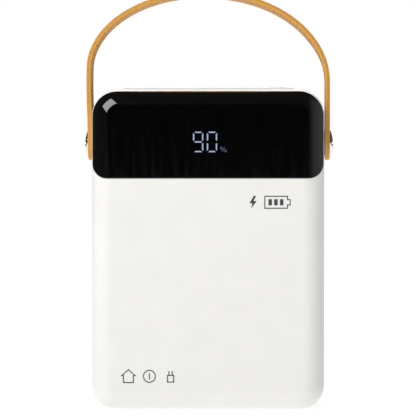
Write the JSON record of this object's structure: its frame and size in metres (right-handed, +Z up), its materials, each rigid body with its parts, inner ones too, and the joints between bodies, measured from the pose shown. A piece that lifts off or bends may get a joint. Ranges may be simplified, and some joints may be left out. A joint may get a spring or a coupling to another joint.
{
  "type": "power bank",
  "caption": "Tall white power bank with a glossy black display cap over its top front, charging sockets in its top face and a leather carrying strap.",
  "frame": {"origin": "middle of the base, on the surface that the power bank stands on", "axes": "+Z up; the display faces -Y; +X is to the right for someone looking at the display"},
  "size_m": [0.106, 0.05, 0.1775],
  "materials": {
    "case_white": "satin off-white moulded shell",
    "panel_black": "piano-black gloss",
    "lit_bars": "lit pale blue-violet",
    "lit_percent": "dimly lit blue",
    "tan_leather": "vegetable-tanned, smooth grain side",
    "chrome": "polished",
    "brass": "turned",
    "nylon": "natural nylon",
    "screw_steel": "black-zinc pan head",
    "socket_steel": "nickel-plated sheet",
    "socket_white": "moulded insulator",
    "socket_black": "moulded insulator",
    "plate_grey": "satin pale grey",
    "board_green": "solder mask",
    "chip_black": "moulded package",
    "can_metal": "drawn can",
    "ceramic_tan": "sintered",
    "tape_black": "adhesive sheet",
    "led_white": "reflector block",
    "pouch_foil": "laminated foil pouch",
    "nickel": "nickel strip",
    "foam_dark": "closed-cell foam",
    "wire_red": "silicone insulation",
    "wire_black": "silicone insulation",
    "retainer_grey": "moulded plate"
  },
  "bodies": {
    "case": {"battery_wire_negative": "wire_black", "battery_wire_positive": "wire_red", "board_screws": "screw_steel", "bottom_pad": "foam_dark", "capacitors": "can_metal", "cell_1": "pouch_foil", "cell_2": "pouch_foil", "cell_3": "pouch_foil", "cell_4": "pouch_foil", "cell_pads": "foam_dark", "cell_retainer": "retainer_grey", "chip_components": "ceramic_tan", "controller_chips": "chip_black", "cover_screws": "screw_steel", "digit_lenses": "lit_bars", "display_module": "led_white", "display_panel": "panel_black", "display_pins": "nickel", "handle_insert_left": "brass", "handle_insert_right": "brass", "handle_screw_left": "chrome", "handle_screw_right": "chrome", "handle_washer_left": "nylon", "handle_washer_right": "nylon", "housing": "case_white", "inductors": "chip_black", "main_board": "board_green", "micro_usb_shell": "socket_steel", "micro_usb_tongue": "socket_black", "negative_bus": "nickel", "negative_tabs": "nickel", "panel_tape": "tape_black", "percent_lens": "lit_percent", "port_plate": "plate_grey", "positive_bus": "nickel", "positive_tabs": "nickel", "rear_cover": "case_white", "tactile_switch": "chip_black", "usb_a_shell_left": "socket_steel", "usb_a_shell_right": "socket_steel", "usb_a_tongue_left": "socket_white", "usb_a_tongue_right": "socket_white", "usb_c_shell": "socket_steel", "usb_c_tongue": "socket_black"},
    "handle": {"handle_strap": "tan_leather"},
    "button": {"power_button": "case_white", "switch_plunger": "nylon"}
  },
  "joints": [
    {"name": "handle_swing", "type": "hinge", "parent": "case", "child": "handle", "pos_m": [0, 0, 0.1125], "axis": [1, 0, 0], "range_deg": [-128, 128]},
    {"name": "button_press", "type": "slide", "parent": "case", "child": "button", "axis": [0, 0, -1], "range_m": [0, 0.0005], "stiffness_N_per_m": 400, "springref_m": -0.001}
  ]
}
